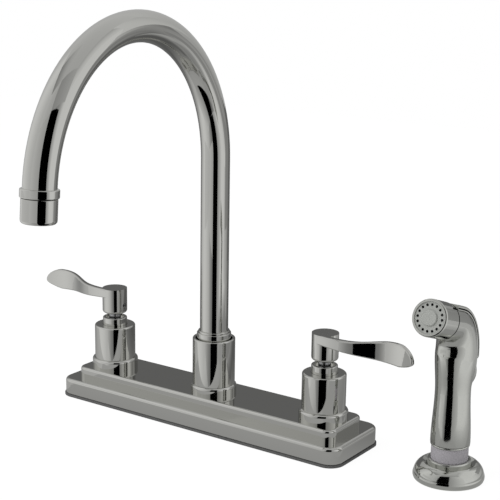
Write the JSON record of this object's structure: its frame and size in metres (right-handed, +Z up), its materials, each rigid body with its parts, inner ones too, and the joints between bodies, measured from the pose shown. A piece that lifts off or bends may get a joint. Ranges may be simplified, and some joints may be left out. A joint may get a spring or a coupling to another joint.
{
  "type": "double-handle faucet",
  "caption": "Deck-mounted double-handle faucet with a high swivelling gooseneck spout, lever handles on a stepped base plate and a lift-out side spray in its own holder.",
  "frame": {"origin": "on the sink deck, under the spout's turning axis", "axes": "+X along the base towards the right handle, +Y towards the wall, +Z up"},
  "size_m": [0.408, 0.2537, 0.3844],
  "materials": {
    "chrome": "polished chrome plate",
    "plated_abs": "moulded ABS with bright chrome plate",
    "brass": "cast and turned",
    "steel": "turned or stamped stainless steel",
    "gasket_rubber": "moulded",
    "seal_rubber": "moulded",
    "grey_plastic": "moulded, fine matte",
    "face_plastic": "moulded, satin",
    "acetal": "moulded",
    "ceramic": "lapped ceramic"
  },
  "bodies": {
    "base": {"base_cover": "chrome", "base_gasket": "gasket_rubber", "waterway_body": "brass", "spray_nipple": "brass", "spout_flange": "chrome", "spout_hub": "chrome", "spout_bearing": "acetal", "diverter_cage": "acetal", "holder_bell": "plated_abs", "holder_shank": "grey_plastic", "holder_washer": "steel", "holder_nut": "grey_plastic", "inlet_shank_left": "brass", "shank_washer_left": "steel", "lock_nut_left": "brass", "hub_flange_left": "chrome", "valve_hub_left": "chrome", "valve_cap_left": "chrome", "cartridge_body_left": "acetal", "seat_seal_left": "seal_rubber", "stem_seal_left": "seal_rubber", "fixed_disc_left": "ceramic", "inlet_shank_right": "brass", "shank_washer_right": "steel", "lock_nut_right": "brass", "hub_flange_right": "chrome", "valve_hub_right": "chrome", "valve_cap_right": "chrome", "cartridge_body_right": "acetal", "seat_seal_right": "seal_rubber", "stem_seal_right": "seal_rubber", "fixed_disc_right": "ceramic"},
    "spout": {"spout_tube": "chrome", "spout_collar": "chrome", "spout_stub": "brass", "spout_o_ring_upper": "seal_rubber", "spout_o_ring_lower": "seal_rubber", "outlet_ferrule": "chrome", "aerator_washer": "seal_rubber", "aerator_shell": "chrome", "aerator_insert": "acetal"},
    "diverter": {"diverter_poppet": "acetal"},
    "wand": {"wand_body": "plated_abs", "hose_coupling": "grey_plastic", "nozzle_seal": "seal_rubber", "nozzle_cap": "plated_abs", "spray_face": "face_plastic", "face_button": "face_plastic", "trigger_pin": "steel"},
    "trigger": {"trigger_lever": "plated_abs"},
    "plunger": {"valve_plunger": "steel"},
    "handle_left": {"handle_lever_left": "chrome", "set_screw_left": "steel", "valve_stem_left": "steel", "moving_disc_left": "ceramic"},
    "handle_right": {"handle_lever_right": "chrome", "set_screw_right": "steel", "valve_stem_right": "steel", "moving_disc_right": "ceramic"}
  },
  "joints": [
    {"name": "spout_swivel", "type": "hinge", "parent": "base", "child": "spout", "pos_m": [0, 0, 0.04], "axis": [0, 0, 1], "continuous": true},
    {"name": "handle_left_turn", "type": "hinge", "parent": "base", "child": "handle_left", "pos_m": [-0.1016, 0, 0.06], "axis": [0, 0, 1], "range_deg": [0, 90]},
    {"name": "handle_right_turn", "type": "hinge", "parent": "base", "child": "handle_right", "pos_m": [0.1016, 0, 0.06], "axis": [0, 0, 1], "range_deg": [-90, 0]},
    {"name": "diverter_lift", "type": "slide", "parent": "base", "child": "diverter", "axis": [0, 0, 1], "range_m": [0, 0.003]},
    {"name": "wand_lift", "type": "slide", "parent": "base", "child": "wand", "axis": [0, 0, 1], "range_m": [0, 0.2]},
    {"name": "trigger_squeeze", "type": "hinge", "parent": "wand", "child": "trigger", "pos_m": [0.2032, -0.00772, 0.12537], "axis": [1, 0, 0], "range_deg": [-4, 0], "stiffness_Nm_per_rad": 0.06, "springref_deg": 3.44},
    {"name": "plunger_push", "type": "slide", "parent": "wand", "child": "plunger", "axis": [0, -0.866, -0.5], "range_m": [0, 0.00184]}
  ],
  "couplings": [
    {"joint": "trigger_squeeze", "follows": "plunger_push", "rad_per_m": -37.879}
  ]
}
